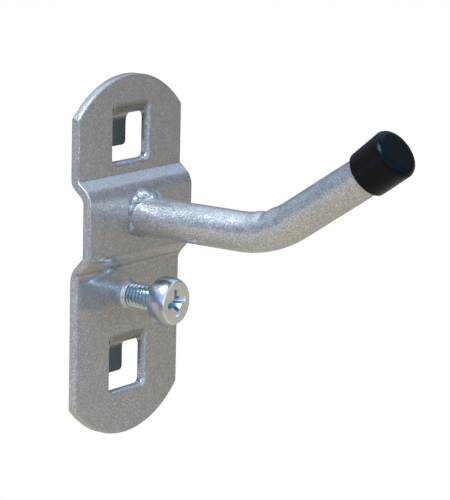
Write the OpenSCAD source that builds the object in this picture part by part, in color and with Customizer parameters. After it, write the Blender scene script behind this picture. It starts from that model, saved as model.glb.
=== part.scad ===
// Pegboard hook: a pressed sheet steel plate with two hook tabs, a welded round
// rod that turns up at its end, a push-on end cap and a locking screw.
//
// Millimetres. X is to the right seen from the front, Y runs back into the board
// and Z is up. The origin lies on the board's face, midway between the two tabs.

/* [Plate] */
// Width of the plate
plate_w = 27; // [24:1:32]
// Thickness of the sheet
sheet_t = 1.5; // [1.2:0.1:1.8]
// Height of the plate's upper end above the origin
plate_top = 28.3; // [27:0.1:32]
// Depth of the plate's lower end below the origin
plate_drop = 31.2; // [27:0.1:34]
// Radius of the arched upper and lower ends
end_r = 18; // [17:0.5:26]

/* [Raised band] */
// How far the band stands forward of the plate
band_rise = 2.5; // [2:0.1:2.8]
// Height of the band's upper edge above the origin
band_top = 9.9; // [9.9:0.1:10.3]
// Height of the band's flat face
band_h = 10.1; // [9.8:0.1:10.2]
// Height of the slope above the band
upper_slope_h = 2.1; // [2:0.1:2.4]
// Height of the slope below the band
lower_slope_h = 2.7; // [2.5:0.1:2.9]
// Inside radius of the fold at the upper slope's top
upper_foot_r = 0.5; // [0.4:0.1:0.8]
// Inside radius of the fold at the band's upper edge
band_top_r = 1.7; // [1.2:0.1:1.8]
// Inside radius of the fold at the band's lower edge
band_bottom_r = 0.7; // [0.4:0.1:1]
// Inside radius of the fold at the lower slope's foot
lower_foot_r = 2.2; // [1.6:0.1:2.4]

/* [Board tabs] */
// Distance between the two tabs, which is the pitch of the board
tab_pitch = 38; // [38:0.5:40]
// Width of the window that each tab is cut from
window_w = 8.8; // [8:0.1:12]
// Height from a window's lower edge to the start of its tab's bend
window_h = 9.5; // [9:0.1:10]
// Cutting gap on each side of a tab
tab_side_gap = 0.1; // [0.05:0.05:0.3]
// Space for the board between the plate and a tab
board_gap = 3; // [3:0.1:4]
// Inside radius of the bend where a tab leaves the plate
tab_root_r = 0.6; // [0.4:0.1:0.8]
// Inside radius of the bend where a tab turns down
tab_bend_r = 1.9; // [1:0.1:2]
// Height of a tab's free end above its window's lower edge
tab_end_h = 1.6; // [1:0.1:2.4]
// Corner radius of a tab's free end
tab_corner_r = 0.8; // [0.4:0.1:1.2]
// Corner radius of the windows
window_corner_r = 0.9; // [0.5:0.1:1.2]

/* [Rod] */
// Diameter of the rod
rod_d = 6.5; // [5.5:0.1:6.6]
// Height of the rod's axis above the origin
rod_z = 5.5; // [5:0.1:5.5]
// Length of the straight part at the plate
rod_straight = 19.5; // [12:0.5:60]
// Bend radius along the rod's axis
rod_bend_r = 18.5; // [12:0.5:30]
// Angle by which the rod turns up
rod_bend_angle = 34; // [20:1:80]
// Length of the straight part beyond the bend
rod_tip = 21.5; // [14:0.1:50]
// Leg of the fillet weld round the rod's foot
weld_leg = 1.1; // [0.6:0.1:1.3]

/* [End cap] */
// Thickness of the cap's wall at its open end
cap_wall = 0.6; // [0.5:0.1:1.5]
// How much wider the cap is across its closed end
cap_flare = 0.5; // [0:0.1:1]
// Length of the cap outside
cap_len = 6.9; // [5:0.1:12]
// Thickness of the cap's closed end
cap_end_t = 0.9; // [0.6:0.1:2]
// Rounding of the cap's closed end
cap_round = 1.3; // [0.4:0.1:1.4]
// Rounding of the cap's open rim
cap_rim_round = 0.3; // [0.1:0.1:0.4]

/* [Locking screw] */
// Diameter over the screw's thread
thread_d = 4; // [3:0.5:5]
// Length of the screw under its head
screw_len = 8; // [8:1:16]
// Length of thread that stands clear between the plate and the head
screw_out = 6.7; // [2.2:0.1:7.2]
// Height of the screw's axis above the origin
screw_z = -7.9; // [-9.5:0.1:-7.9]
// Diameter of the screw's head
head_d = 8; // [6.5:0.5:8]
// Height of the screw's head
head_h = 3.1; // [2.4:0.1:4]
// Diameter of the flat face of the head
head_face_d = 6.6; // [5.6:0.1:7.2]
// Height of the straight edge round the head's foot
head_edge_h = 1.1; // [0.5:0.1:1.6]
// Rounding of the head's foot
head_foot_round = 0.25; // [0.05:0.05:0.4]
// Width of each slot of the cross recess
recess_w = 1.1; // [0.6:0.1:1.4]
// Length of each slot at the head's face
recess_span = 4.6; // [3:0.1:5]
// Length of each slot at the recess's floor
recess_floor_span = 1.6; // [1:0.1:2.4]
// Depth of the cross recess
recess_depth = 1.9; // [1:0.1:2.2]
// Turn of the cross recess about the screw's axis
recess_turn = 8; // [0:1:90]
// Chamfer of the screw's tip
tip_chamfer = 0.5; // [0.2:0.1:0.8]
// Chamfer of the screw's hole at each end
hole_chamfer = 0.2; // [0.1:0.05:0.3]
// Height of the raised lip round the hole's front
lip_h = 0.9; // [0.4:0.1:1]
// Width of the raised lip
lip_w = 0.45; // [0.4:0.05:0.8]
// Gap between the thread and the wall of its hole
thread_gap = 0.05; // [0.02:0.01:0.1]

/* [Hidden] */
$fn = 96;
// Steps in each drawn arc
arc_steps = 8;
// Length by which a cutting body runs past the metal
cut_over = 1;
// The sheet's middle plane, the band's middle plane and the band's front face
sheet_mid = -sheet_t / 2;
band_mid = sheet_mid - band_rise;
band_face = -sheet_t - band_rise;
band_bottom = band_top - band_h;
// Middle radii of the bends in the sheet
fold_mid_radii = [for (r = [upper_foot_r, band_top_r, band_bottom_r, lower_foot_r]) r + sheet_t / 2];
tab_root_mid_r = tab_root_r + sheet_t / 2;
tab_bend_mid_r = tab_bend_r + sheet_t / 2;
// Window and tab heights, measured from the middle of a window
window_low = -window_h / 2;
window_high = window_h / 2;
tab_level = window_high - tab_root_mid_r;
tab_back_mid = board_gap + sheet_t / 2;
tab_end = window_low + tab_end_h;
tab_w = window_w - 2 * tab_side_gap;
// Length of each tab that lies in the plate above its window
root_overlap = 0.8;
// Middle line of the plate from its upper to its lower end, as [y, z]
plate_path = [
    [sheet_mid, plate_top],
    [sheet_mid, band_top + upper_slope_h],
    [band_mid, band_top],
    [band_mid, band_bottom],
    [sheet_mid, band_bottom - lower_slope_h],
    [sheet_mid, -plate_drop]
];
// Middle line of a tab, from the middle of its window
tab_path = [
    [sheet_mid, window_high + root_overlap],
    [sheet_mid, tab_level],
    [tab_back_mid, tab_level],
    [tab_back_mid, tab_end]
];
// Rod
rod_r = rod_d / 2;
bend_reach = rod_bend_r * sin(rod_bend_angle);
bend_rise = rod_bend_r * (1 - cos(rod_bend_angle));
// The straight tip starts inside the end of the bend and is slimmer by a hair, so
// that the two meet cleanly
bend_lap = 0.2;
tip_step = 0.01;
// Depth by which the weld's root reaches behind the band's face
weld_root = 0.5;
// Cap
cap_open_r = rod_r + cap_wall;
cap_end_r = cap_open_r + cap_flare / 2;
cap_depth = cap_len - cap_end_t;
// Screw hole
hole_r = thread_d / 2 + thread_gap;
// Depth by which the lip's body is sunk into the sheet
lip_root = 0.5;
// Screw head
head_r = head_d / 2;
head_face_r = head_face_d / 2;

function unit(v) = v / norm(v);
function left_of(v) = [-v[1], v[0]];
function turn_of(u, v) = atan2(u[0] * v[1] - u[1] * v[0], u * v);
function turned(v, a) = [v[0] * cos(a) - v[1] * sin(a), v[0] * sin(a) + v[1] * cos(a)];
function reversed(list) = [for (i = [len(list) - 1 : -1 : 0]) list[i]];

// Points of an arc, or of a quarter ellipse where the two radii differ
function arc_points(centre, rx, ry, from, to) =
    [for (i = [0 : arc_steps]) let (a = from + (to - from) * i / arc_steps)
        centre + [rx * cos(a), ry * sin(a)]];

// Points of the bend at corner b of the path a-b-c, on a line that runs "side" to
// the left of the path. The path itself bends with radius r.
function bend_points(a, b, c, r, side) =
    let (
        u = unit(b - a),
        turn = turn_of(u, unit(c - b)),
        way = sign(turn),
        start = b - u * r * tan(abs(turn) / 2),
        centre = start + left_of(u) * r * way,
        spoke = -left_of(u) * way * (r - way * side)
    )
    [for (i = [0 : arc_steps]) centre + turned(spoke, turn * i / arc_steps)];

// One face of a bent sheet whose middle line follows a path
function sheet_face(path, radii, side) =
    let (last = len(path) - 1)
    concat(
        [path[0] + left_of(unit(path[1] - path[0])) * side],
        [for (i = [1 : last - 1])
            each bend_points(path[i - 1], path[i], path[i + 1], radii[i - 1], side)],
        [path[last] + left_of(unit(path[last] - path[last - 1])) * side]
    );

// Sheet of width w bent along a path of [y, z] points, centred on x = 0
module bent_sheet(path, radii, w) {
    translate([-w / 2, 0, 0])
        rotate([90, 0, 90])
            linear_extrude(height = w)
                polygon(concat(
                    sheet_face(path, radii, sheet_t / 2),
                    reversed(sheet_face(path, radii, -sheet_t / 2))
                ));
}

// A front view drawing in [x, z], carried through from y = back to y = front
module from_front(back, front) {
    translate([0, back, 0])
        rotate([90, 0, 0])
            linear_extrude(height = back - front)
                children();
}

// Rectangle with its two lower corners rounded
module round_footed_2d(w, low, high, r) {
    translate([-w / 2, low + r])
        square([w, high - low - r]);
    translate([r - w / 2, low])
        square([w - 2 * r, 2 * r]);
    for (side = [-1, 1])
        translate([side * (w / 2 - r), low + r])
            circle(r = r);
}

// Front view of the plate: straight sides between two arched ends
module plate_outline_2d() {
    upper_centre = plate_top - end_r;
    lower_centre = end_r - plate_drop;
    intersection() {
        translate([-plate_w / 2, -plate_drop])
            square([plate_w, plate_top + plate_drop]);
        union() {
            translate([0, upper_centre])
                circle(r = end_r);
            translate([0, lower_centre])
                circle(r = end_r);
            translate([-end_r, lower_centre])
                square([2 * end_r, upper_centre - lower_centre]);
        }
    }
}

module plate_sheet() {
    bent_sheet(plate_path, fold_mid_radii, plate_w);
}

// One board tab with rounded corners, placed from the middle of its window
module board_tab() {
    intersection() {
        bent_sheet(tab_path, [tab_root_mid_r, tab_bend_mid_r], tab_w);
        from_front(board_gap + sheet_t + cut_over, -sheet_t - cut_over)
            round_footed_2d(tab_w, tab_end, window_high + root_overlap, tab_corner_r);
    }
}

// Raised lip round the front of the screw hole
module hole_lip() {
    translate([0, -sheet_t, screw_z])
        rotate([90, 0, 0])
            rotate_extrude()
                polygon(concat(
                    [[0, -lip_root], [hole_r + lip_w, -lip_root]],
                    arc_points([hole_r, 0], lip_w, lip_h, 0, 90),
                    [[0, lip_h]]
                ));
}

// Screw hole with a small chamfer at each end
module screw_hole() {
    translate([0, cut_over, screw_z])
        rotate([90, 0, 0])
            cylinder(h = sheet_t + lip_h + 2 * cut_over, r = hole_r);
    for (face = [0, 1])
        translate([0, -face * (sheet_t + lip_h), screw_z])
            rotate([face * 180 - 90, 0, 0])
                translate([0, 0, -hole_chamfer])
                    cylinder(h = 2 * hole_chamfer, r1 = hole_r, r2 = hole_r + 2 * hole_chamfer);
}

module mounting_plate() color("silver") {
    difference() {
        union() {
            intersection() {
                plate_sheet();
                from_front(cut_over, band_face - cut_over)
                    plate_outline_2d();
            }
            hole_lip();
        }
        for (level = [-1, 1])
            translate([0, 0, level * tab_pitch / 2])
                from_front(cut_over, -sheet_t - cut_over)
                    round_footed_2d(window_w, window_low, window_high, window_corner_r);
        screw_hole();
    }
    for (level = [-1, 1])
        translate([0, 0, level * tab_pitch / 2])
            board_tab();
}

module hook_rod() color("silver") {
    translate([0, band_face, rod_z])
        rotate([90, 0, 0])
            cylinder(h = rod_straight, r = rod_r);
    translate([0, band_face - rod_straight, rod_z + rod_bend_r])
        rotate([0, 90, 180])
            rotate_extrude(angle = rod_bend_angle)
                translate([rod_bend_r, 0])
                    circle(r = rod_r);
    at_bend_end()
        translate([0, 0, -bend_lap])
            cylinder(h = rod_tip + bend_lap, r = rod_r - tip_step);
}

// Places a shape whose Z axis is the rod's axis beyond its bend
module at_bend_end() {
    translate([0, band_face - rod_straight - bend_reach, rod_z + bend_rise])
        rotate([90 - rod_bend_angle, 0, 0])
            children();
}

// Fillet of weld metal that fills the corner between the rod and the band
module weld_bead() color("silver") {
    difference() {
        translate([0, band_face + weld_root, rod_z])
            rotate([90, 0, 0])
                rotate_extrude()
                    polygon(concat(
                        [[rod_r, 0], [rod_r + weld_leg, 0]],
                        arc_points([rod_r, weld_root], weld_leg, weld_leg, 0, 90)
                    ));
        plate_sheet();
    }
}

module end_cap() color("black") {
    at_bend_end()
        translate([0, 0, rod_tip - cap_depth])
            rotate_extrude()
                polygon(concat(
                    [[rod_r, cap_depth], [rod_r, 0]],
                    arc_points([cap_open_r - cap_rim_round, cap_rim_round],
                        cap_rim_round, cap_rim_round, -90, 0),
                    arc_points([cap_end_r - cap_round, cap_len - cap_round],
                        cap_round, cap_round, 0, 90),
                    [[0, cap_len], [0, cap_depth]]
                ));
}

// Cross recess: two crossed wings that narrow towards the floor
module cross_recess() {
    for (wing = [recess_turn, recess_turn + 90])
        rotate([90, 0, wing])
            translate([0, 0, -recess_w / 2])
                linear_extrude(height = recess_w)
                    polygon([
                        [-recess_span / 2, cut_over],
                        [-recess_span / 2, 0],
                        [-recess_floor_span / 2, -recess_depth],
                        [recess_floor_span / 2, -recess_depth],
                        [recess_span / 2, 0],
                        [recess_span / 2, cut_over]
                    ]);
}

module locking_screw() color("lightsteelblue") {
    translate([0, -sheet_t - screw_out, screw_z])
        rotate([90, 0, 0]) {
            difference() {
                rotate_extrude()
                    polygon(concat(
                        [[0, 0]],
                        arc_points([head_r - head_foot_round, head_foot_round],
                            head_foot_round, head_foot_round, -90, 0),
                        arc_points([head_face_r, head_edge_h],
                            head_r - head_face_r, head_h - head_edge_h, 0, 90),
                        [[0, head_h]]
                    ));
                translate([0, 0, head_h])
                    cross_recess();
            }
            translate([0, 0, tip_chamfer - screw_len])
                cylinder(h = screw_len - tip_chamfer, d = thread_d);
            translate([0, 0, -screw_len])
                cylinder(h = tip_chamfer, r1 = thread_d / 2 - tip_chamfer, r2 = thread_d / 2);
        }
}

mounting_plate();
hook_rod();
weld_bead();
end_cap();
locking_screw();
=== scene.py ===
"""Looks of the pegboard hook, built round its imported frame. Shapes are worked out in millimetres."""

import math

import bmesh
import bpy
import numpy as np
from mathutils import Matrix, Vector, noise
from mathutils.geometry import delaunay_2d_cdt


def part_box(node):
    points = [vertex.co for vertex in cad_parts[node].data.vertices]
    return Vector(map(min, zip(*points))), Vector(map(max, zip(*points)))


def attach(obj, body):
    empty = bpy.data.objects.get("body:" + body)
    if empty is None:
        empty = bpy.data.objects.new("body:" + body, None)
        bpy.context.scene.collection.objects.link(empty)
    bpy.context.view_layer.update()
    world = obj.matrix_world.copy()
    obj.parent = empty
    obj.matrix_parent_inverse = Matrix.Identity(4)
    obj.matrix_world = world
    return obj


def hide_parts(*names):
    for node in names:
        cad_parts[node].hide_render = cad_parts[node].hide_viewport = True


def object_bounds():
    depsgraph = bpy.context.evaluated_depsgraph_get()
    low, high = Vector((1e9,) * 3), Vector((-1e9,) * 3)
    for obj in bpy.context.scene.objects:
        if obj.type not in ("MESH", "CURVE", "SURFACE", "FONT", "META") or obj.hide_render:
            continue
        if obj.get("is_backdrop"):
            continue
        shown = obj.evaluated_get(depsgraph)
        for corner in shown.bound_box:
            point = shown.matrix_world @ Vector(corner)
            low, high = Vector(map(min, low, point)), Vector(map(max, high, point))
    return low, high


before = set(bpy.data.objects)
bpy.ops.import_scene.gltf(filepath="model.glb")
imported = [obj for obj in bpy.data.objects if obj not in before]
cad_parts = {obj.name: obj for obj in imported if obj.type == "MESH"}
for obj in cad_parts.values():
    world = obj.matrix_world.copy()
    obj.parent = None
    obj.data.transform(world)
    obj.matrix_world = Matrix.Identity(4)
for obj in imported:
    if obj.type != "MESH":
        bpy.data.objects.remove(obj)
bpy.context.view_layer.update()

MM = 0.001


def box_mm(node):
    """Lowest and highest corner of a CAD node in millimetres."""
    low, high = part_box(node)
    return np.array(low) / MM, np.array(high) / MM


# -------------------- sizes

plate_low, plate_high = box_mm("mounting_plate")
rod_low, rod_high = box_mm("hook_rod")
weld_low, weld_high = box_mm("weld_bead")
cap_high = box_mm("end_cap")[1]
screw_low, screw_high = box_mm("locking_screw")

# Plate: its sheet, rounded edges, the inner radii of its folds from the top, its arched ends and band
SHEET = 1.5
FRONT_ROUND = 0.38
BACK_ROUND = 0.16
FOLD_RADII = (0.5, 1.7, 0.7, 2.2)
END_R = 18.0
BAND_TOP = 9.9
BAND_LOW = -0.2
UPPER_SLOPE = 2.1
LOWER_SLOPE = 2.7
RIPPLE = 0.02

# Windows: their rim is rounded more than the other edges, and less and less towards the tab's root
WINDOW_HALF = 4.4
WINDOW_H = 9.5
WINDOW_CORNER = 0.9
WINDOW_ROUND = 0.85
ROOT_FADE = 1.4

# Tabs, and the web of metal between each side of a window and the root of its tab
TAB_PITCH = 38.0
TAB_HALF = 4.3
TAB_ROOT_R = 0.6
TAB_BEND_R = 1.9
TAB_END_ABOVE = 1.6
TAB_CORNER = 0.8
TAB_TAPER = 1.2
WEB_R = 0.8

# Tapped hole and the lip that stands round it
HOLE_R = 2.05
HOLE_ROUND = 0.18
LIP_H = 0.84
LIP_W = 0.29
LIP_EDGE = 0.08

half_w = plate_high[0]
plate_top = plate_high[2]
plate_foot = plate_low[2]
band_face = plate_low[1]
tab_back = plate_high[1] - SHEET / 2
tab_front = plate_high[1] - SHEET
window_centres = (TAB_PITCH / 2, -TAB_PITCH / 2)

# Rod: straight, bend and straight tip
ROD_R = (rod_high[0] - rod_low[0]) / 2
ROD_Z = (weld_low[2] + weld_high[2]) / 2
ROD_STRAIGHT = 19.5
ROD_BEND_R = 18.5
ROD_BEND = math.radians(34)
ROD_TIP = 21.5
ROD_WAVER = 0.012
rod_length = ROD_STRAIGHT + ROD_BEND_R * ROD_BEND + ROD_TIP

# Cap: flared, round at its closed end and a little askew; its end stands past the rod's
CAP_LEN = 6.9
CAP_END = 0.88
CAP_OPEN_R = ROD_R + 0.6
CAP_END_R = cap_high[0] - 0.01
CAP_ROUND = 1.1
CAP_TILT = math.radians(4)

# Screw: domed head with a flat face and a cross recess, and its thread
SCREW_Z = (screw_low[2] + screw_high[2]) / 2
HEAD_R = (screw_high[0] - screw_low[0]) / 2
HEAD_FACE_R = 3.3
HEAD_H = 3.1
HEAD_EDGE = 1.1
THREAD_R = 2.0
THREAD_ROOT_R = 1.56
THREAD_PITCH = 0.7
RECESS_TURN = math.radians(8)
RECESS_DEPTH = 1.9

head_face_y = screw_low[1]
head_foot_y = head_face_y + HEAD_H
screw_tip_y = screw_high[1]

# -------------------- mesh helpers


# In metres: closer vertices are welded, and shorter edges are dropped
WELD_GAP = 2e-6
SLIVER = 5e-7

# In millimetres: closer points count as one, and points this near to a seam lie on it
TINY = 1e-6
ON_SEAM = 1e-4


def plain_object(name, verts, faces):
    """A smooth object from millimetre vertices."""
    mesh = bpy.data.meshes.new(name)
    mesh.from_pydata([tuple(v) for v in np.asarray(verts) * MM], [], [tuple(f) for f in faces])
    tidy_mesh(mesh)
    made = bpy.data.objects.new(name, mesh)
    bpy.context.scene.collection.objects.link(made)
    return made


def add_piece(name, verts, faces, material, body, node):
    """Makes a piece that moves with a body and stands for a CAD node."""
    piece = plain_object(name, verts, faces)
    piece.data.materials.append(material)
    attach(piece, body)
    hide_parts(node)
    return piece


def tidy_mesh(mesh):
    """Welds touching vertices, drops faces without area and turns all faces outwards."""
    cleaner = bmesh.new()
    cleaner.from_mesh(mesh)
    bmesh.ops.remove_doubles(cleaner, verts=cleaner.verts, dist=WELD_GAP)
    bmesh.ops.dissolve_degenerate(cleaner, dist=SLIVER, edges=cleaner.edges)
    bmesh.ops.recalc_face_normals(cleaner, faces=cleaner.faces)
    for face in cleaner.faces:
        face.smooth = True
    cleaner.to_mesh(mesh)
    cleaner.free()


def grid_faces(rows, columns, closed=True):
    """Quads of a grid of rows of points, closed round each row if asked."""
    faces = []
    span = columns if closed else columns - 1
    for i in range(rows - 1):
        for j in range(span):
            k = (j + 1) % columns
            faces.append((i * columns + j, i * columns + k, (i + 1) * columns + k, (i + 1) * columns + j))
    return faces


def bend_line(corners, radii, side, steps=8):
    """Points of one face of a bent sheet along a path of corners; side is its distance to the left."""
    corners = [np.array(c, float) for c in corners]
    points = []
    first = unit(corners[1] - corners[0])
    points.append(corners[0] + left_of(first) * side)
    for i in range(1, len(corners) - 1):
        along = unit(corners[i] - corners[i - 1])
        onward = unit(corners[i + 1] - corners[i])
        turn = math.atan2(along[0] * onward[1] - along[1] * onward[0], along @ onward)
        way = math.copysign(1, turn)
        radius = radii[i - 1]
        start = corners[i] - along * radius * math.tan(abs(turn) / 2)
        centre = start + left_of(along) * radius * way
        spoke = -left_of(along) * way * (radius - way * side)
        for k in range(steps + 1):
            points.append(centre + turned(spoke, turn * k / steps))
    last = unit(corners[-1] - corners[-2])
    points.append(corners[-1] + left_of(last) * side)
    return np.array(points)


def unit(v):
    """The vector at length 1."""
    return v / np.linalg.norm(v)


def left_of(v):
    """The vector a quarter turn to the left."""
    return np.array([-v[1], v[0]])


def turned(v, angle):
    """The vector turned to the left by an angle."""
    c = math.cos(angle)
    s = math.sin(angle)
    return np.array([v[0] * c - v[1] * s, v[0] * s + v[1] * c])


def arc(centre, radius, start, end, steps):
    """Points of an arc, angles in degrees."""
    angles = np.radians(np.linspace(start, end, steps + 1))
    return np.stack([centre[0] + radius * np.cos(angles), centre[1] + radius * np.sin(angles)], 1)


def spaced(a, b, step):
    """Points from a to b about one step apart."""
    a = np.array(a, float)
    b = np.array(b, float)
    count = max(1, int(round(np.linalg.norm(b - a) / step)))
    return a + (b - a) * np.linspace(0, 1, count + 1)[:, None]


def joined(*parts):
    """One line through several, without doubled points."""
    points = np.concatenate(parts)
    keep = np.ones(len(points), bool)
    keep[1:] = np.linalg.norm(np.diff(points, axis=0), axis=1) > TINY
    return points[keep]


def closed_line(line):
    """The line with its first point again at its end."""
    return np.concatenate([line, line[:1]])


def distance_to_line(points, line):
    """Distance from each point to a line."""
    best = np.full(len(points), np.inf)
    for a, b in zip(line[:-1], line[1:]):
        ab = b - a
        if ab @ ab < 1e-12:
            continue
        share = np.clip(((points - a) @ ab) / (ab @ ab), 0, 1)
        best = np.minimum(best, np.linalg.norm(points - a - share[:, None] * ab, axis=1))
    return best


def inside(points, loop):
    """True for each point inside a closed loop."""
    x = points[:, 0]
    y = points[:, 1]
    hit = np.zeros(len(points), bool)
    for a, b in zip(loop, np.roll(loop, -1, axis=0)):
        crosses = (a[1] > y) != (b[1] > y)
        if crosses.any():
            at = a[0] + (y - a[1]) / (b[1] - a[1] + 1e-30) * (b[0] - a[0])
            hit ^= crosses & (x < at)
    return hit


def round_drop(distance, radius):
    """How far a rounded edge falls away from the face at a distance from its rim."""
    reach = np.clip(radius - distance, 0, radius)
    return radius - np.sqrt(np.maximum(radius * radius - reach * reach, 0))


def triangulate(lines, keep):
    """Triangles over the plane that follow all the given lines, where keep(points) is true."""
    verts = []
    edges = []
    for line in lines:
        start = len(verts)
        verts.extend(Vector((float(p[0]), float(p[1]))) for p in line)
        edges.extend((start + i, start + i + 1) for i in range(len(line) - 1))
    merge_below = 1e-5
    made = delaunay_2d_cdt(verts, edges, [], 0, merge_below)
    points = np.array([tuple(v) for v in made[0]])
    triangles = np.array(made[2], int)
    centres = points[triangles].mean(1)
    return points, triangles[keep(centres)]


def open_edges(triangles):
    """Edges with one triangle, in that triangle's direction."""
    seen = {}
    for tri in triangles:
        for i in range(3):
            a = int(tri[i])
            b = int(tri[(i + 1) % 3])
            key = (min(a, b), max(a, b))
            seen[key] = None if key in seen else (a, b)
    return [edge for edge in seen.values() if edge is not None]


def sheet_solid(points, triangles, front, back, is_seam):
    """Closed sheet from a triangulated plane: front and back give each point's place in space.
    Edges where is_seam(a, b) is true get no wall, as another piece of sheet joins there."""
    used = np.unique(triangles)
    index = np.full(len(points), -1)
    index[used] = np.arange(len(used))
    count = len(used)
    verts = np.concatenate([front[used], back[used]])
    faces = []
    for tri in triangles:
        a, b, c = index[tri]
        faces.append((a, b, c))
        faces.append((c + count, b + count, a + count))
    for a, b in open_edges(triangles):
        if not is_seam(points[a], points[b]):
            faces.append((index[b], index[a], index[a] + count, index[b] + count))
    return verts, faces


def edge_rings():
    """Distances from a rim at which the rounded edge is drawn."""
    steps = [FRONT_ROUND * (1 - math.cos(math.radians(a))) for a in (0, 20, 38, 55, 72, 90)]
    return steps + [FRONT_ROUND + 0.07]


def cup_line(half, top, foot, corner, step):
    """A line down from the left, along a foot with two round corners, and up on the right."""
    corner_steps = 10
    return joined(
        spaced((-half, top), (-half, foot + corner), step),
        arc((-half + corner, foot + corner), corner, 180, 270, corner_steps),
        spaced((-half + corner, foot), (half - corner, foot), step),
        arc((half - corner, foot + corner), corner, 270, 360, corner_steps),
        spaced((half, foot + corner), (half, top), step),
    )


def level_line(xs, height):
    """A level line through the given places across the sheet."""
    return np.stack([xs, np.full(len(xs), height)], 1)


# -------------------- plate and tabs


def plate_path():
    """The sheet's middle line from top to foot, as (y, z)."""
    middle = -SHEET / 2
    band_middle = band_face + SHEET / 2
    return [
        (middle, plate_top),
        (middle, BAND_TOP + UPPER_SLOPE),
        (band_middle, BAND_TOP),
        (band_middle, BAND_LOW),
        (middle, BAND_LOW - LOWER_SLOPE),
        (middle, plate_foot),
    ]


def plate_line(side):
    """One face of the folded sheet from top to foot, as (y, z)."""
    return bend_line(plate_path(), [r + SHEET / 2 for r in FOLD_RADII], side)


def tab_path():
    """A tab's middle line from its window's upper edge, as (y, z) with z from the window's middle."""
    level = WINDOW_H / 2 - TAB_ROOT_R - SHEET / 2
    end = -WINDOW_H / 2 + TAB_END_ABOVE
    return [(-SHEET / 2, WINDOW_H / 2), (-SHEET / 2, level), (tab_back, level), (tab_back, end)]


def outline_loop(inset):
    """Front view of the plate, pulled in by inset, counter-clockwise as (x, z)."""
    half = half_w - inset
    radius = END_R - inset
    top = plate_top - END_R
    foot = plate_foot + END_R
    corner = math.degrees(math.acos(half / radius))
    side = math.sqrt(radius * radius - half * half)
    arc_steps = 44
    step = 1.2
    upper = arc((0, top), radius, corner, 180 - corner, arc_steps)
    lower = arc((0, foot), radius, 180 + corner, 360 - corner, arc_steps)
    left = spaced((-half, top + side), (-half, foot - side), step)
    right = spaced((half, foot - side), (half, top + side), step)
    return joined(upper, left, lower, right)


def window_line(centre, out):
    """A window's sides and foot, moved out into the metal, clockwise from upper left to upper right.
    Round its two upper corners the line closes onto the window's upper edge."""
    half = WINDOW_HALF + out
    top = centre + WINDOW_H / 2
    fade_z = top - ROOT_FADE
    foot = centre - WINDOW_H / 2 - out
    fine_step = 0.2
    parts = [
        spaced((-half, top), (-half, fade_z), fine_step),
        cup_line(half, fade_z, foot, WINDOW_CORNER + out, 1.0),
        spaced((half, fade_z), (half, top), fine_step),
    ]
    if out > 0:
        parts.insert(0, arc((-WINDOW_HALF, top), out, 0, 180, 10))
        parts.append(arc((WINDOW_HALF, top), out, 0, 180, 10))
    return joined(*parts)


def seam_xs():
    """Places across a tab's root at which the plate and the tab share their points."""
    rims = [WINDOW_HALF - d for d in edge_rings()]
    inner = rims[-1] - 0.5
    middle = np.linspace(-inner, inner, 9)
    return np.array(sorted(rims + [-x for x in rims] + list(middle)))


def sheet_ripple(x, z):
    """Slight unevenness of the pressed sheet, as how far its front lies back: 0 to twice RIPPLE."""
    waves_per_mm = 0.11
    places = [Vector((a * waves_per_mm, b * waves_per_mm, 0.4)) for a, b in zip(x, z)]
    wave = np.array([noise.noise(place) for place in places]) * RIPPLE
    return np.clip(wave, -RIPPLE, RIPPLE) + RIPPLE


def fold_rows():
    """Heights at which the plate needs a row of points, for its folds and between them."""
    row_step = 1.13
    least_gap = 0.045
    rows = []
    for side in (SHEET / 2, -SHEET / 2):
        rows.extend(plate_line(side)[1:-1, 1])
    rows.extend(np.arange(plate_foot + 0.9, plate_top - 0.5, row_step))
    rows = sorted(rows)
    kept = [rows[0]]
    for z in rows[1:]:
        if z - kept[-1] > least_gap:
            kept.append(z)
    return kept


def hole_ring(out):
    """A circle round the tapped hole, at a distance from its rim."""
    return arc((0, SCREW_Z), HOLE_R + out, 0, 360, 48)


def plate_lines():
    """All the lines that the plate's triangles follow: rims, rounded edges, seams, lip and folds."""
    lip_rings = (0.06, 0.14, 0.25, 0.38, 0.60)
    bevel_rings = (0.62, 0.75, 0.86, 0.95)
    lines = []
    for d in edge_rings():
        lines.append(closed_line(outline_loop(d)))
        lines.append(hole_ring(d))
        lines.extend(window_line(c, d) for c in window_centres)
    lines.extend(level_line(seam_xs(), c + WINDOW_H / 2) for c in window_centres)
    lines.extend(hole_ring(d) for d in lip_rings)
    for d in bevel_rings:
        lines.extend(window_line(c, d) for c in window_centres)
    columns = np.linspace(-half_w - 1, half_w + 1, 27)
    lines.extend(level_line(columns, z) for z in fold_rows())
    return lines


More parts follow.
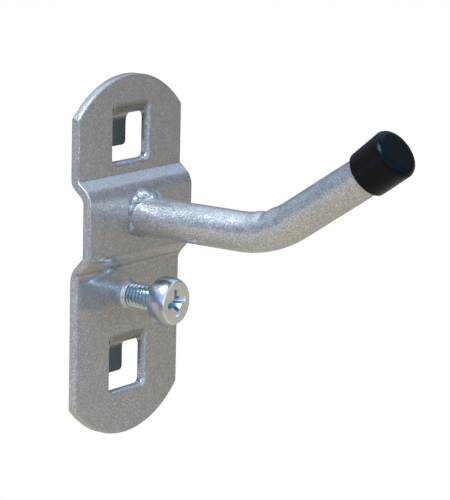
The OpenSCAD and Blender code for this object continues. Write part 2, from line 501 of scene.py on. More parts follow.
def plate_surface():
    """The plate without its tabs: the folded sheet, open at its windows and its tapped hole."""
    outline = outline_loop(0)
    windows = [window_line(c, 0) for c in window_centres]

    def keep(points):
        good = inside(points, outline) & ~inside(points, hole_ring(0))
        for window in windows:
            good &= ~inside(points, window)
        return good

    points, triangles = triangulate(plate_lines(), keep)
    depth = distance_to_line(points, closed_line(outline))
    hole_depth = np.abs(np.linalg.norm(points - np.array([0, SCREW_Z]), axis=1) - HOLE_R)
    front_line = plate_line(-SHEET / 2)[::-1]
    back_line = plate_line(SHEET / 2)[::-1]
    x = points[:, 0]
    z = points[:, 1]
    front_y = np.interp(z, front_line[:, 1], front_line[:, 0])
    back_y = np.interp(z, back_line[:, 1], back_line[:, 0])
    fall = np.maximum(round_drop(depth, FRONT_ROUND), round_drop(hole_depth, HOLE_ROUND))
    fall_back = np.maximum(round_drop(depth, BACK_ROUND), round_drop(hole_depth, BACK_ROUND))
    for c, window in zip(window_centres, windows):
        near = distance_to_line(points, window)
        rise = 1 - np.clip((c + WINDOW_H / 2 - z) / ROOT_FADE, 0, 1)
        closing = 1 - np.sqrt(1 - rise * rise)
        fall = np.maximum(fall, round_drop(near + WINDOW_ROUND * closing, WINDOW_ROUND))
        fall_back = np.maximum(fall_back, round_drop(near + BACK_ROUND * closing, BACK_ROUND))
    from_lip = np.clip((hole_depth - LIP_EDGE) / LIP_W, 0, 1)
    lip = LIP_H * (0.5 + 0.5 * np.cos(math.pi * from_lip))
    front = np.stack([x, front_y + fall + sheet_ripple(x, z) - lip, z], 1)
    back = np.stack([x, back_y - fall_back, z], 1)

    def is_seam(a, b):
        across = max(abs(a[0]), abs(b[0])) < WINDOW_HALF + ON_SEAM
        tops = [c + WINDOW_H / 2 for c in window_centres]
        return across and any(max(abs(a[1] - top), abs(b[1] - top)) < ON_SEAM for top in tops)

    return sheet_solid(points, triangles, front, back, is_seam)


def tab_middle():
    """A tab's middle line: lengths along it, and the place and direction there as (y, z)."""
    middle = bend_line(tab_path(), [TAB_ROOT_R + SHEET / 2, TAB_BEND_R + SHEET / 2], 0, steps=14)
    lengths = np.concatenate([[0], np.cumsum(np.linalg.norm(np.diff(middle, axis=0), axis=1))])
    apart = np.concatenate([[True], np.diff(lengths) > TINY])
    middle = middle[apart]
    lengths = lengths[apart]
    headings = np.gradient(middle, lengths, axis=0)
    headings /= np.linalg.norm(headings, axis=1)[:, None]
    headings[0] = (0, -1)
    headings[-1] = (0, -1)
    return lengths, middle, headings


def tab_surface(centre):
    """One lanced tab, from its window's upper edge back and down behind the board."""
    lengths, middle, headings = tab_middle()
    total = lengths[-1]

    def side_line(inset):
        corner = max(TAB_CORNER - inset, 0.1)
        return cup_line(WINDOW_HALF - inset, 0, inset - total, corner, 0.8)

    rim = side_line(0)
    lines = [side_line(d) for d in edge_rings()] + [level_line(seam_xs(), 0)]
    columns = np.linspace(-WINDOW_HALF - 0.5, WINDOW_HALF + 0.5, 11)
    lines.extend(level_line(columns, -s) for s in lengths[1:-1])
    lines.extend(level_line(columns, -s) for s in np.arange(lengths[-2] + 1.0, total - 0.6, 1.0))
    points, triangles = triangulate(lines, lambda p: inside(p, rim))
    depth = distance_to_line(points, rim)
    s = -points[:, 1]
    y = np.interp(s, lengths, middle[:, 0])
    z = np.interp(s, lengths, middle[:, 1]) + centre
    ty = np.interp(s, lengths, headings[:, 0])
    tz = np.interp(s, lengths, headings[:, 1])
    size = np.hypot(ty, tz)
    normal_y = tz / size
    normal_z = -ty / size
    narrow = 1 - (WINDOW_HALF - TAB_HALF) / WINDOW_HALF * np.clip(s / TAB_TAPER, 0, 1)
    root_height = np.full(len(points), centre + WINDOW_H / 2)
    ripple = sheet_ripple(points[:, 0], root_height) * np.clip(1 - s, 0, 1)
    grow = np.clip(s / ROOT_FADE, 0, 1)
    front_off = SHEET / 2 - round_drop(depth, BACK_ROUND) * grow - ripple
    back_off = SHEET / 2 - round_drop(depth, FRONT_ROUND) * grow
    x = points[:, 0] * narrow
    front = np.stack([x, y + normal_y * front_off, z + normal_z * front_off], 1)
    back = np.stack([x, y - normal_y * back_off, z - normal_z * back_off], 1)

    def is_seam(a, b):
        return max(abs(a[1]), abs(b[1])) < ON_SEAM

    return sheet_solid(points, triangles, front, back, is_seam)


def window_web(centre, side):
    """The fillet between a window's side and the root of its tab, sunk a little into both."""
    rows = 10
    sink = 0.05
    side_sink = 0.02
    top_sink = 0.03
    root = TAB_ROOT_R + SHEET
    growth = 0.8
    verts = []
    for y in np.linspace(0.08 - SHEET, -0.02, rows):
        top = centre + WINDOW_H / 2 - math.sqrt(root**2 - (TAB_ROOT_R - y) ** 2) + top_sink
        r = WEB_R * math.sqrt(min(1.0, (y + SHEET) / growth))
        section = arc((WINDOW_HALF + side_sink - r, top - r), r, 0, 90, 8)
        section = np.concatenate([section, [(WINDOW_HALF + sink, top + sink)]])
        verts.extend((side * x, y, z) for x, z in section)
    columns = len(verts) // rows
    last = (rows - 1) * columns
    faces = grid_faces(rows, columns)
    faces.append(tuple(range(columns)))
    faces.append(tuple(range(last, last + columns)))
    return np.array(verts), faces


def merged(parts):
    """Several (vertices, faces) pairs as one."""
    verts = []
    faces = []
    for part_verts, part_faces in parts:
        base = len(verts)
        verts.extend(part_verts)
        faces.extend(tuple(i + base for i in face) for face in part_faces)
    return np.array(verts), faces


def build_plate(material):
    """The folded sheet with its two tabs and the webs at their roots."""
    parts = [plate_surface()]
    for centre in window_centres:
        parts.extend([tab_surface(centre), window_web(centre, 1), window_web(centre, -1)])
    verts, faces = merged(parts)
    return add_piece("coated_plate", verts, faces, material, "bracket", "mounting_plate")


# -------------------- rod, weld and cap


def rod_axis(s):
    """Point, heading and upward normal of the rod's axis at a length s from the band."""
    angle = min(max(0.0, s - ROD_STRAIGHT) / ROD_BEND_R, ROD_BEND)
    past = max(0.0, s - ROD_STRAIGHT - ROD_BEND_R * ROD_BEND)
    y = -min(s, ROD_STRAIGHT) - ROD_BEND_R * math.sin(angle) - past * math.cos(angle)
    z = ROD_BEND_R * (1 - math.cos(angle)) + past * math.sin(angle)
    point = np.array([0.0, band_face + y, ROD_Z + z])
    heading = np.array([0.0, -math.cos(angle), math.sin(angle)])
    up = np.array([0.0, math.sin(angle), math.cos(angle)])
    return point, heading, up


def swell(at, height, width):
    """A smooth bump of a height and width, at a distance from its middle."""
    return height * math.exp(-((at / width) ** 2))


def rod_radius(s, angle):
    """The rod's radius at length s and an angle from its right side towards its top, with bend creases."""
    past_middle = s - ROD_STRAIGHT - ROD_BEND_R * ROD_BEND / 2
    crease = swell(past_middle - 0.39, -0.34, 0.8)
    ridge = swell(past_middle + 1.6, 0.08, 0.8)
    second = swell(past_middle - 2.3, 0.05, 0.7)
    top = max(0.0, math.sin(angle)) ** 4
    return ROD_R - ROD_WAVER + top * (crease + ridge + second)


def circle_angles(count):
    """Even steps once round, in radians."""
    return [2 * math.pi * j / count for j in range(count)]


def build_rod(material):
    """The rod from a little inside the band to its tip, with its bend drawn finely."""
    around = 112
    sunk = [-0.4, -0.2]
    bend_from = ROD_STRAIGHT - 1.5
    bend_to = rod_length - ROD_TIP + 1.5
    straight = np.linspace(0, bend_from, 22)[:-1]
    bend = np.linspace(bend_from, bend_to, 71)[:-1]
    stations = np.concatenate([sunk, straight, bend, np.linspace(bend_to, rod_length, 26)])
    waves_per_mm = 0.35
    verts = []
    for s in stations:
        point, _, up = rod_axis(s)
        for a in circle_angles(around):
            direction = math.cos(a) * np.array([1.0, 0, 0]) + math.sin(a) * up
            waver = ROD_WAVER * noise.noise(Vector((point + direction * ROD_R) * waves_per_mm))
            verts.append(point + direction * (rod_radius(s, a) + waver))
    faces = grid_faces(len(stations), around)
    faces.append(tuple(range(around)))
    faces.append(tuple(range(len(verts) - around, len(verts)))[::-1])
    return add_piece("coated_rod", verts, faces, material, "bracket", "hook_rod")


def degrees_from(angle, centre):
    """How far an angle in radians lies from a centre in degrees, between -180 and 180."""
    return (math.degrees(angle) - centre + 180) % 360 - 180


def weld_leg(angle):
    """Size of the bead round the rod's foot; the angle runs from the right side towards the top.
    Each lump has a centre in degrees, a height in millimetres and a width in degrees."""
    lumps = (
        (42, 1.85, 36),
        (92, 1.35, 28),
        (128, 0.9, 18),
        (156, 0.6, 16),
        (216, 0.85, 19),
        (300, 0.6, 35),
    )
    total = 0.02
    for centre, height, width in lumps:
        total += swell(degrees_from(angle, centre), height, width) ** 3
    return total ** (1 / 3)


def weld_run(angle):
    """How much further the bead runs along the rod than over the plate, by angle."""
    return 1 + swell(degrees_from(angle, 78), 1.2, 42)


def weld_point(angle, turn, face):
    """A point of the bead's skin. The angle goes round the rod, and turn from below the plate's face
    (under 0) up over the bead and onto the rod (a quarter turn)."""
    bead_r = 4.2
    rough = 0.12
    spot = Vector((math.cos(angle) * bead_r, math.sin(angle) * bead_r, turn * 1.2))
    waver = 1 + rough * noise.noise(spot * 0.8) + rough * noise.noise(spot * 2.6)
    reach = weld_leg(angle) * waver
    sink = 0.06
    above = turn > 0
    radius = ROD_R + reach
    if above:
        radius = ROD_R - sink + (reach + sink) * max(0.0, math.cos(turn)) ** 2.2
    z = ROD_Z + radius * math.sin(angle)
    surface = float(np.interp(z, face[:, 1], face[:, 0]))
    under = 0.12
    if above:
        y = band_face - reach * weld_run(angle) * math.sin(turn) ** 1.1
        y += (surface - band_face + under) * (1 - math.sin(turn)) ** 1.5
    else:
        y = surface - 0.35 * turn + under
    return radius * math.cos(angle), y, z


def build_weld(material):
    """The bead round the rod's foot, with a bore that lies inside the rod."""
    around = 200
    across = 18
    face = plate_line(-SHEET / 2)[::-1]
    angles = circle_angles(around)
    verts = []
    for turn in np.radians(np.linspace(-18, 98, across)):
        verts.extend(weld_point(a, turn, face) for a in angles)
    bore = ROD_R - 0.25
    crown = verts[-around:]
    for depths in ([y for _, y, _ in crown], [band_face + 0.3] * around):
        verts.extend((bore * math.cos(a), y, ROD_Z + bore * math.sin(a)) for a, y in zip(angles, depths))
    faces = grid_faces(across + 2, around)
    last = (across + 1) * around
    for j in range(around):
        k = (j + 1) % around
        faces.append((last + j, last + k, k, j))
    return add_piece("weld", verts, faces, material, "bracket", "weld_bead")


def revolve(profile, base, axis, around):
    """A profile of (radius, height) turned about an axis; its ends on the axis close it."""
    side = np.array([1.0, 0, 0])
    along = np.cross(axis, side)
    verts = []
    for radius, height in profile:
        for a in circle_angles(around):
            verts.append(base + axis * height + (side * math.cos(a) + along * math.sin(a)) * radius)
    return np.array(verts), grid_faces(len(profile), around)


def cap_axis():
    """Middle of the cap's mouth, and the direction from there to its closed end."""
    tip, heading, up = rod_axis(rod_length)
    mouth = tip + heading * (CAP_END - CAP_LEN)
    return mouth, heading * math.cos(CAP_TILT) + up * math.sin(CAP_TILT)


def build_cap(material):
    """The cap, turned about its axis. The disc that closes its mouth is hidden inside the rod."""
    base, heading = cap_axis()
    lip = 0.3
    rim = arc((CAP_OPEN_R - lip, lip), lip, -90, 0, 6)
    shoulder = arc((CAP_END_R - CAP_ROUND, CAP_LEN - CAP_ROUND), CAP_ROUND, 0, 84, 14)
    side = spaced(rim[-1], shoulder[0], 0.5)[1:-1]
    end = [(CAP_END_R - 1.2, CAP_LEN - 0.005), (2.4, CAP_LEN), (1.2, CAP_LEN), (0.0, CAP_LEN)]
    mouth = [(0.0, lip), (ROD_R - 0.05, lip), (ROD_R - 0.03, 0.06), (ROD_R + 0.06, 0.0)]
    verts, faces = revolve(np.concatenate([mouth, rim, side, shoulder, end]), base, heading, 112)
    return add_piece("end_cover", verts, faces, material, "bracket", "end_cap")


# -------------------- locking screw


def thread_radius(phase):
    """Radius of the thread at a phase of its pitch: flat crest, two flanks and a flat root."""
    phase = phase % 1.0
    crest = 0.13
    root = 0.16
    flank = (1 - crest - root) / 2
    if phase < crest:
        share = 0.0
    elif phase < crest + flank:
        share = (phase - crest) / flank
    elif phase < crest + flank + root:
        share = 1.0
    else:
        share = 1 - (phase - crest - flank - root) / flank
    return THREAD_R - (THREAD_R - THREAD_ROOT_R) * share


def build_thread():
    """The threaded shank as rows that follow the helix, clamped at its two ends."""
    around = 72
    per_pitch = 16
    row_step = THREAD_PITCH / per_pitch
    low = head_foot_y - 0.3
    high = screw_tip_y
    neck = THREAD_R * 0.9
    runout_from = head_foot_y + 0.05
    runout_length = 0.45
    tip_r = THREAD_R - 0.5
    first = int(math.floor((low - THREAD_PITCH) / row_step))
    last = int(math.ceil((high + THREAD_PITCH) / row_step))
    verts = []
    for i in range(first, last + 1):
        for j in range(around + 1):
            turn = j / around
            a = 2 * math.pi * turn
            y = i * row_step + THREAD_PITCH * turn
            runout = min(1.0, max(0.0, (y - runout_from) / runout_length))
            radius = neck * (1 - runout) + thread_radius(i / per_pitch) * runout
            radius = min(radius, tip_r + max(0.0, high - y))
            verts.append((radius * math.cos(a), min(max(y, low), high), SCREW_Z + radius * math.sin(a)))
    return verts, grid_faces(last - first + 1, around + 1, closed=False)


def head_profile():
    """(radius, height) from the underside of the head to the middle of its face."""
    edge = 0.25
    foot = arc((HEAD_R - edge, edge), edge, -90, 0, 5)
    angles = np.radians(np.linspace(0, 82, 22))
    dome_r = HEAD_FACE_R + (HEAD_R - HEAD_FACE_R) * np.cos(angles)
    dome = np.stack([dome_r, HEAD_EDGE + (HEAD_H - HEAD_EDGE) * np.sin(angles)], 1)
    face = [(HEAD_FACE_R - 0.1, HEAD_H - 0.004), (HEAD_FACE_R - 0.3, HEAD_H), (1.5, HEAD_H), (0.0, HEAD_H)]
    return np.concatenate([[(0.0, 0.0), (HEAD_R - 0.6, 0.0)], foot, dome, face])


def cross_cutter():
    """A cross-shaped punch: four tapered wings that flare where they meet."""
    wing = ((0.82, -0.82), (1.1, -0.55), (2.3, -0.50), (2.42, 0.0), (2.3, 0.50), (1.1, 0.55))
    outline = [turned(corner, quarter * math.pi / 2) for quarter in range(4) for corner in wing]
    levels = ((-0.4, 1.07), (0.0, 1.0), (RECESS_DEPTH * 0.86, 0.56), (RECESS_DEPTH, 0.30))
    verts = []
    for depth, scale in levels:
        for point in outline:
            x, z = turned(point * scale, RECESS_TURN)
            verts.append((x, head_face_y + depth, SCREW_Z + z))
    count = len(outline)
    faces = grid_faces(len(levels), count)
    faces.append(tuple(range(count)))
    faces.append(tuple(range(len(verts) - count, len(verts)))[::-1])
    return verts, faces


def apply_modifiers(piece):
    """Replaces a piece's mesh with its mesh after modifiers."""
    graph = bpy.context.evaluated_depsgraph_get()
    final = bpy.data.meshes.new_from_object(piece.evaluated_get(graph))
    piece.modifiers.clear()
    old = piece.data
    piece.data = final
    bpy.data.meshes.remove(old)


def head_mesh():
    """The head with its recess punched in and its edges softened, as vertices and faces."""
    base = np.array([0.0, head_foot_y, SCREW_Z])
    head = plain_object("head_blank", *revolve(head_profile(), base, np.array([0.0, -1.0, 0]), 96))
    cutter = plain_object("recess_punch", *cross_cutter())
    cut = head.modifiers.new("recess", "BOOLEAN")
    cut.operation = "DIFFERENCE"
    cut.solver = "EXACT"
    cut.object = cutter
    soften = head.modifiers.new("soften", "BEVEL")
    soften.width = 0.07 * MM
    soften.segments = 2
    soften.limit_method = "ANGLE"
    soften.angle_limit = math.radians(38)
    soften.harden_normals = False
    apply_modifiers(head)
    verts = np.array([tuple(v.co) for v in head.data.vertices]) / MM
    faces = [tuple(p.vertices) for p in head.data.polygons]
    bpy.data.objects.remove(cutter)
    bpy.data.objects.remove(head)
    return verts, faces


def build_screw(material):
    """The head and the threaded shank as one piece with crisp edges."""
    verts, faces = merged([head_mesh(), build_thread()])
    screw = add_piece("zinc_screw", verts, faces, material, "screw", "locking_screw")
    close_ends(screw)
    split = screw.modifiers.new("edges", "EDGE_SPLIT")
    split.split_angle = math.radians(50)
    return screw


def close_ends(piece):
    """Fills the open rings at the ends of a mesh."""
    work = bmesh.new()
    work.from_mesh(piece.data)
    rim = [e for e in work.edges if e.is_boundary]
    bmesh.ops.holes_fill(work, edges=rim, sides=0)
    bmesh.ops.recalc_face_normals(work, faces=work.faces)
    work.to_mesh(piece.data)
    work.free()


# -------------------- materials


class Nodes:
    """A short way to write a node tree. A value is a number, a colour or another node's output."""

    def __init__(self, tree):
        self.tree = tree

    def add(self, kind, inputs=(), **settings):
        """A new node with these settings and inputs."""
        node = self.tree.nodes.new(kind)
        for key, value in settings.items():
            setattr(node, key, value)
        for key, value in dict(inputs).items():
            self.give(node.inputs[key], value)
        return node

    def give(self, socket, value):
        """Links an output to a socket, or sets the socket's own value."""
        if isinstance(value, bpy.types.NodeSocket):
            self.tree.links.new(value, socket)
        else:
            socket.default_value = value

    def calc(self, operation, a, b=0.0):
        return self.add("ShaderNodeMath", {0: a, 1: b}, operation=operation).outputs[0]

    def vector(self, operation, a, b=(0, 0, 0)):
        node = self.add("ShaderNodeVectorMath", {0: a, 1: b}, operation=operation)
        return node.outputs["Value" if operation in ("DOT_PRODUCT", "LENGTH") else "Vector"]

    def mapped(self, value, low, high, to_low, to_high):
        """The value's range from low to high, stretched onto another and held at its ends."""
        inputs = {"Value": value, "From Min": low, "From Max": high, "To Min": to_low, "To Max": to_high}
        return self.add("ShaderNodeMapRange", inputs).outputs["Result"]

    def rising(self, value, low, high):
        return self.mapped(value, low, high, 0.0, 1.0)

    def falling(self, value, low, high):
        return self.mapped(value, low, high, 1.0, 0.0)

    def product(self, *factors):
        total = factors[0]
        for factor in factors[1:]:
            total = self.calc("MULTIPLY", total, factor)
        return total

    def ramp(self, factor, stops):
        """A colour ramp of (position, colour) stops, where a plain number is a grey."""
        node = self.add("ShaderNodeValToRGB", {"Fac": factor})
        elements = node.color_ramp.elements
        while len(elements) < len(stops):
            elements.new(0.5)
        for element, (at, colour) in zip(elements, stops):
            element.position = at
            element.color = (*colour, 1.0) if isinstance(colour, tuple) else (colour, colour, colour, 1.0)
        return node.outputs["Color"]

    def mix(self, factor, a, b, blend="MIX"):
        node = self.add("ShaderNodeMix", data_type="RGBA", blend_type=blend)
        self.give(node.inputs["Factor"], factor)
        self.give(node.inputs["A"], (*a, 1.0) if isinstance(a, tuple) else a)
        self.give(node.inputs["B"], (*b, 1.0) if isinstance(b, tuple) else b)
        return node.outputs["Result"]

    def times(self, a, b):
        """One colour multiplied by another."""
        return self.mix(1.0, a, b, "MULTIPLY")

    def white_for_viewers(self, shader, white, glossy_share, camera_share=1.0):
        """Shows plain white instead of a shader: to the camera and through glass, by camera_share, and
        in glossy reflections, by glossy_share."""
        path = self.add("ShaderNodeLightPath").outputs
        seen = self.calc("MAXIMUM", path["Is Camera Ray"], path["Is Transmission Ray"])
        seen = self.calc("MULTIPLY", seen, camera_share)
        glossy = self.calc("MULTIPLY", path["Is Glossy Ray"], glossy_share)
        share = self.calc("MAXIMUM", seen, glossy)
        return self.add("ShaderNodeMixShader", {0: share, 1: shader, 2: white}).outputs[0]


class Finish(Nodes):
    """A material's node tree, with textures measured in millimetres of the object."""

    def __init__(self, name):
        self.material = bpy.data.materials.new(name)
        self.material.use_nodes = True
        super().__init__(self.material.node_tree)
        self.shader = self.tree.nodes["Principled BSDF"]

    def set(self, **values):
        """Sets or links inputs of the shader, with _ for each space in their names."""
        for key, value in values.items():
            self.give(self.shader.inputs[key.replace("_", " ")], value)

    def place(self, per_mm=1.0):
        """Object coordinates in millimetres, scaled."""
        where = self.add("ShaderNodeTexCoord").outputs["Object"]
        scale = (per_mm / MM,) * 3
        return self.add("ShaderNodeMapping", {"Vector": where, "Scale": scale}).outputs["Vector"]

    def noise(self, per_mm, detail=2.0, roughness=0.5):
        inputs = {"Vector": self.place(per_mm), "Scale": 1.0, "Detail": detail, "Roughness": roughness}
        return self.add("ShaderNodeTexNoise", inputs).outputs["Fac"]

    def cells(self, per_mm):
        """A random colour for each small grain."""
        inputs = {"Vector": self.place(per_mm), "Scale": 1.0}
        return self.add("ShaderNodeTexVoronoi", inputs).outputs["Color"]

    def channel(self, colour, name):
        return self.add("ShaderNodeSeparateColor", {"Color": colour}).outputs[name]

    def bump(self, height, distance_mm, strength=1.0):
        inputs = {"Height": height, "Distance": distance_mm * MM, "Strength": strength}
        return self.add("ShaderNodeBump", inputs).outputs["Normal"]

    def scatter(self, normal, colour, amount):
        """Tilts a normal by a random colour, as flakes in a coating do."""
        centred = self.vector("SUBTRACT", colour, (0.5, 0.5, 0.5))
        tilt = self.add("ShaderNodeVectorMath", {0: centred, "Scale": amount}, operation="SCALE")
        return self.vector("NORMALIZE", self.vector("ADD", normal, tilt.outputs["Vector"]))

    def from_screw_axis(self):
        """Distance from the screw's axis in millimetres."""
        offset = self.vector("SUBTRACT", self.place(), (0, 0, SCREW_Z))
        return self.vector("LENGTH", self.vector("MULTIPLY", offset, (1, 0, 1)))


def painted_light_and_shade(n):
    """Painted light and shade, as a factor on the coat's colour: painted shade in the fold at the foot of
    the lower slope, on the root of each tab and on the face that each tab turns to its window, and a
    painted highlight on the lip of the tapped hole. The whole coat is painted lighter towards the lower
    left and darker towards the upper right."""
    apart = n.add("ShaderNodeSeparateXYZ", {"Vector": n.place()}).outputs
    across = n.calc("ABSOLUTE", apart["X"])
    behind = apart["Y"]
    up = apart["Z"]
    window_z = n.calc("MULTIPLY", n.calc("SIGN", up), TAB_PITCH / 2)
    above = n.calc("SUBTRACT", up, window_z)
    # Painted shade on the underside of each tab's root, darkening from the window's upper edge down into
    # the bend.
    root_painted_shade = n.ramp(
        n.rising(above, WINDOW_H / 2 + 0.25, WINDOW_H / 2 - 0.95),
        [
            (0.0, 1.0),
            (0.17, 0.76),
            (0.33, 0.61),
            (0.58, 0.50),
            (0.75, (0.38, 0.37, 0.36)),
            (1.0, (0.33, 0.31, 0.30)),
        ],
    )
    # Painted shade on the face each tab turns to its window: dark and teal deep behind the plate.
    tab_face_painted_shade = n.ramp(
        n.rising(behind, tab_front - 0.4, tab_front),
        [
            (0.0, (1.0, 1.0, 0.96)),
            (0.45, (0.95, 0.95, 0.92)),
            (0.75, (0.60, 0.62, 0.60)),
            (1.0, (0.24, 0.35, 0.37)),
        ],
    )
    # Painted shade: a narrow dark line in the crease at the foot of the lower slope, a faint painted
    # lightening just below it, and the slope above a little darker.
    fold = BAND_LOW - LOWER_SLOPE
    fold_painted_shade = n.ramp(
        n.rising(up, fold - 0.8, fold + 0.8),
        [
            (0.0, 1.0),
            (0.25, (1.05, 1.04, 1.02)),
            (0.45, (0.88, 0.85, 0.83)),
            (0.60, (0.52, 0.49, 0.48)),
            (0.72, (0.46, 0.44, 0.43)),
            (0.90, (0.82, 0.80, 0.78)),
            (1.0, 0.94),
        ],
    )
    on_root = n.product(
        n.falling(across, WINDOW_HALF - 0.9, WINDOW_HALF + 0.3),
        n.falling(behind, -0.4, -0.1),
        n.rising(behind, -SHEET - 0.5, -SHEET - 0.3),
        n.rising(above, 1.0, 2.0),
    )
    on_face = n.product(
        n.falling(above, 2.7, 2.9),
        n.rising(behind, 1.9, 2.1),
        n.falling(behind, tab_front + 0.5, tab_front + 1.2),
    )
    on_fold = n.product(
        n.falling(behind, -SHEET + 0.3, -SHEET + 0.5),
        n.rising(behind, band_face, band_face + 0.2),
    )
    on_lip = n.product(
        n.falling(n.from_screw_axis(), HOLE_R + LIP_W, HOLE_R + LIP_W + 0.15),
        n.falling(behind, -SHEET - 0.2, -SHEET - 0.05),
    )
    # Painted light and shade: the coat is painted lighter towards the lower left and darker towards the
    # upper right.
    to_upper_right = n.vector("DOT_PRODUCT", n.place(), (0.8, 0.0, 0.6))
    shade = n.mapped(to_upper_right, -25.0, 25.0, 1.13, 0.85)
    # Painted highlight: the lip round the tapped hole is painted almost twice as light.
    lip_painted_highlight = (1.9, 1.9, 1.95)
    painted_marks = ((on_lip, lip_painted_highlight), (on_root, root_painted_shade), (on_face, tab_face_painted_shade), (on_fold, fold_painted_shade))
    for where, tone in painted_marks:
        shade = n.times(shade, n.mix(where, (1.0, 1.0, 1.0), tone))
    return shade


def silver_coat(name, tone, flake=0.26, peel=0.004, fineness=1.0, rough=0.40, gloss=(0.22, 0.2, 1.5)):
    """Silver powder coat: grey lacquer with fine metal flakes and a slight orange peel, under a clear
    coat. Flake is how far the flakes tilt, and gloss is the clear coat's weight, roughness and index."""
    n = Finish(name)
    grains = n.cells(5.2 * fineness)
    fine = n.cells(9.5 * fineness)
    mottle = n.noise(0.55, 3.0)
    orange_peel = n.noise(2.6, 3.0, 0.6)
    dark = tuple(t * 0.78 for t in tone)
    light = tuple(t * 1.25 for t in tone)
    base = n.mix(n.channel(grains, "Red"), dark, light)
    base = n.times(base, n.ramp(n.channel(fine, "Green"), [(0.0, 0.84), (0.84, 1.0), (0.97, 1.75)]))
    base = n.times(base, n.ramp(mottle, [(0.35, (0.95, 0.955, 0.96)), (0.65, (1.04, 1.035, 1.03))]))
    # Painted light and shade: the coat's colour is multiplied by painted shade and painted highlight, set
    # by place.
    base = n.times(base, painted_light_and_shade(n))
    surface = n.bump(orange_peel, peel)
    surface = n.scatter(surface, grains, flake)
    surface = n.scatter(surface, fine, flake * 0.7)
    n.set(Base_Color=base, Metallic=0.92, Normal=surface)
    n.set(Roughness=n.mapped(mottle, 0.3, 0.7, rough, rough + 0.08))
    n.set(Coat_Weight=gloss[0], Coat_Roughness=gloss[1], Coat_IOR=gloss[2])
    return n.material


def black_plastic(name):
    """Moulded black plastic with faint scuffs and a satin gloss; its side is painted warmer and its end
    cooler and darker, as painted reflection.
    """
    n = Finish(name)
    fine = n.noise(4.0, 3.0, 0.6)
    broad = n.noise(0.35, 2.0)
    mouth, heading = cap_axis()
    along = n.vector("DOT_PRODUCT", n.vector("SUBTRACT", n.place(), tuple(mouth)), tuple(heading))
    # Painted reflection: warm on the cap's side, cool and darker on its closed end.
    side = n.ramp(broad, [(0.3, (0.0065, 0.0034, 0.0024)), (0.7, (0.009, 0.005, 0.0036))])
    end = n.ramp(broad, [(0.3, (0.0004, 0.0012, 0.0018)), (0.7, (0.0008, 0.0018, 0.0024))])
    base = n.mix(n.rising(along, CAP_LEN - CAP_ROUND, CAP_LEN - 0.15), side, end)
    n.set(Base_Color=base, Normal=n.bump(fine, 0.006, 0.8))
    n.set(Roughness=n.mapped(broad, 0.3, 0.7, 0.20, 0.25))
    n.set(Specular_IOR_Level=0.17, Specular_Tint=(0.27, 0.78, 1.0, 1.0))
    return n.material


def bright_zinc(name):
    """Bright zinc plating with a cool tint and fine unevenness, with painted shade in the thread, in the
    recess and round the dome of the head."""
    n = Finish(name)
    broad = n.noise(0.5, 3.0)
    fine = n.noise(3.5, 3.0, 0.65)
    behind = n.add("ShaderNodeSeparateXYZ", {"Vector": n.place()}).outputs["Y"]
    base = n.ramp(broad, [(0.3, (0.80, 0.88, 0.95)), (0.7, (0.92, 0.96, 0.99))])
    # Painted shade: darker near the axis, in the thread's roots and the cross recess, and again over the
    # dome past the flat face.
    thread = [(0.08, (0.34, 0.48, 0.55)), (0.24, (0.86, 0.88, 0.90))]
    dome = [(0.62, (0.80, 0.82, 0.85)), (0.72, (0.56, 0.57, 0.60))]
    recess_and_dome_painted_shade = n.ramp(n.rising(n.from_screw_axis(), 1.3, 4.1), thread + dome)
    tone = n.mix(n.rising(behind, head_face_y + 0.06, head_face_y + 0.3), (1.0, 1.0, 1.0), recess_and_dome_painted_shade)
    tone = n.mix(n.rising(behind, screw_tip_y - 0.6, screw_tip_y - 0.4), tone, (0.8, 0.85, 0.9))
    n.set(Base_Color=n.times(base, tone), Metallic=1.0, Normal=n.bump(fine, 0.0016, 0.7))
    n.set(Roughness=n.mapped(broad, 0.3, 0.7, 0.15, 0.24))
    return n.material


# -------------------- studio

WHITE = (1, 1, 1, 1)
GLOSSY_WHITE = 0.10
FLOOR_WHITE = 0.93


def build_world():
    """A soft room, cool and bright above, warm and dim below, bluer behind and dimmer to the right.
    Camera rays see it as plain white."""
    world = bpy.data.worlds.new("studio")
    bpy.context.scene.world = world
    world.use_nodes = True
    n = Nodes(world.node_tree)
    outward = n.add("ShaderNodeTexCoord").outputs["Generated"]

    def towards(direction, low=-1, high=1, to_low=0.0, to_high=1.0):
        share = n.vector("DOT_PRODUCT", outward, Vector(direction).normalized())
        return n.mapped(share, low, high, to_low, to_high)

    before = n.ramp(
        towards((-0.20, -0.42, 0.885)),
        [
            (0.0, (0.10, 0.088, 0.074)),
            (0.13, (0.18, 0.16, 0.135)),
            (0.26, (0.30, 0.27, 0.22)),
            (0.37, (0.42, 0.365, 0.265)),
            (0.46, (0.43, 0.37, 0.26)),
            (0.60, (0.27, 0.32, 0.41)),
            (0.72, (0.90, 1.13, 1.50)),
            (1.0, (0.66, 0.80, 1.02)),
        ],
    )
    behind = n.ramp(
        towards((0.0, 0.0, 1.0)),
        [
            (0.0, (0.10, 0.088, 0.074)),
            (0.17, (0.23, 0.20, 0.16)),
            (0.40, (0.37, 0.38, 0.40)),
            (0.60, (0.10, 0.17, 0.27)),
            (0.70, (0.17, 0.29, 0.47)),
            (0.84, (0.84, 1.00, 1.26)),
            (1.0, (1.0, 1.15, 1.40)),
        ],
    )
    right_behind = towards((0.72, 0.66, 0.20), 0.75, 0.97, 1.0, 0.6)
    right_before = towards((0.80, -0.47, 0.37), 0.91, 0.98, 1.0, 0.12)
    room = n.tree.nodes["Background"]
    n.give(room.inputs["Color"], n.mix(towards((0.0, 1.0, 0.0), -0.1, 0.5), before, behind))
    n.give(room.inputs["Strength"], n.calc("MULTIPLY", right_behind, right_before))
    white = n.add("ShaderNodeBackground", {"Color": WHITE})
    shown = n.white_for_viewers(room.outputs[0], white.outputs[0], GLOSSY_WHITE)
    n.give(n.tree.nodes["World Output"].inputs["Surface"], shown)


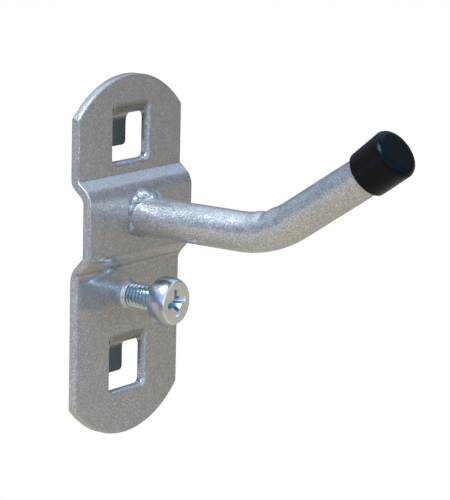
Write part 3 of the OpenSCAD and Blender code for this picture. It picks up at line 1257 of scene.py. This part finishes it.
def build_floor():
    """A pale round floor below the hook, which hangs clear of it as on its board. Sizes are in metres."""
    radius = 0.25
    gap = 0.13
    count = 96
    low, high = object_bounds()
    centre = (low + high) / 2
    level = low.z - gap
    verts = [(centre.x, centre.y, level)]
    for a in circle_angles(count):
        verts.append((centre.x + radius * math.cos(a), centre.y + radius * math.sin(a), level))
    faces = [(0, 1 + i, 1 + (i + 1) % count) for i in range(count)]
    mesh = bpy.data.meshes.new("floor")
    mesh.from_pydata(verts, [], faces)
    floor = bpy.data.objects.new("floor", mesh)
    bpy.context.scene.collection.objects.link(floor)
    n = Finish("pale_floor")
    n.set(Base_Color=(0.46, 0.36, 0.24, 1), Roughness=0.9)
    glow = n.add("ShaderNodeEmission", {"Color": WHITE, "Strength": 1.0})
    shown = n.white_for_viewers(n.shader.outputs[0], glow.outputs[0], GLOSSY_WHITE, FLOOR_WHITE)
    n.give(n.tree.nodes["Material Output"].inputs["Surface"], shown)
    mesh.materials.append(n.material)
    floor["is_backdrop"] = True


def soft_light(name, direction, distance, side, power, colour):
    """A square soft box, side metres wide, that looks at the middle of the hook."""
    light = bpy.data.lights.new(name, "AREA")
    light.shape = "SQUARE"
    light.size = side
    light.energy = power
    light.color = colour
    lamp = bpy.data.objects.new(name, light)
    bpy.context.scene.collection.objects.link(lamp)
    low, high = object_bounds()
    back = Vector(direction).normalized()
    lamp.location = (low + high) / 2 + back * distance
    lamp.rotation_mode = "QUATERNION"
    lamp.rotation_quaternion = (-back).to_track_quat("-Z", "Y")


def build_lights():
    """A cool light above, and two weak ones on the left: one before the hook and one low behind it."""
    soft_light("overhead", (-0.47, -0.04, 0.88), 0.7, 0.34, 6.1, (0.80, 0.90, 1.0))
    soft_light("front", (-0.55, -0.83, 0.10), 0.9, 0.5, 0.15, (1.0, 0.97, 0.93))
    soft_light("side", (-0.77, 0.55, -0.42), 0.6, 0.5, 0.25, (1.0, 0.98, 1.0))


def build_camera():
    """The camera, to the left of the hook's front and a little above it."""
    data = bpy.data.cameras.new("camera")
    data.lens = 186.18
    data.sensor_width = 36
    data.shift_x = 0.00286
    data.shift_y = 0.0036
    data.clip_start = 0.01
    camera = bpy.data.objects.new("camera", data)
    bpy.context.scene.collection.objects.link(camera)
    azimuth = math.radians(-54.42)
    elevation = math.radians(11.59)
    roll = math.radians(1.38)
    distance = 445.32
    aim = Vector((28.38, 0, -5.41)) * MM
    level = math.cos(elevation)
    back = Vector((math.sin(azimuth) * level, -math.cos(azimuth) * level, math.sin(elevation)))
    turn = back.to_track_quat("Z", "Y").to_matrix().to_4x4()
    place = Matrix.Translation(aim + back * distance * MM)
    camera.matrix_world = place @ turn @ Matrix.Rotation(roll, 4, "Z")
    bpy.context.scene.camera = camera


# -------------------- the scene

# Plate, rod and weld wear one powder coat: the rod's copy is painted lighter, a painted highlight, and the
# weld's darker, painted shade against the lamp's glare on its lumps.
plate_coat = silver_coat("silver_powder_coat", (0.435, 0.43, 0.43), flake=0.34, gloss=(1.0, 0.085, 2.1))
rod_coat_painted_lighter = silver_coat(
    "rod_powder_coat_painted_lighter", (0.57, 0.57, 0.57), flake=0.21, fineness=1.2, rough=0.32, gloss=(0.8, 0.2, 1.6)
)
weld_coat_painted_darker = silver_coat(
    "weld_powder_coat_painted_darker", (0.30, 0.32, 0.35), flake=0.30, peel=0.012, fineness=1.2, rough=0.50
)

build_plate(plate_coat)
build_rod(rod_coat_painted_lighter)
build_weld(weld_coat_painted_darker)
build_cap(black_plastic("black_plastic"))
build_screw(bright_zinc("bright_zinc"))

build_world()
build_floor()
build_lights()
build_camera()
bpy.context.scene.view_settings.view_transform = "Standard"
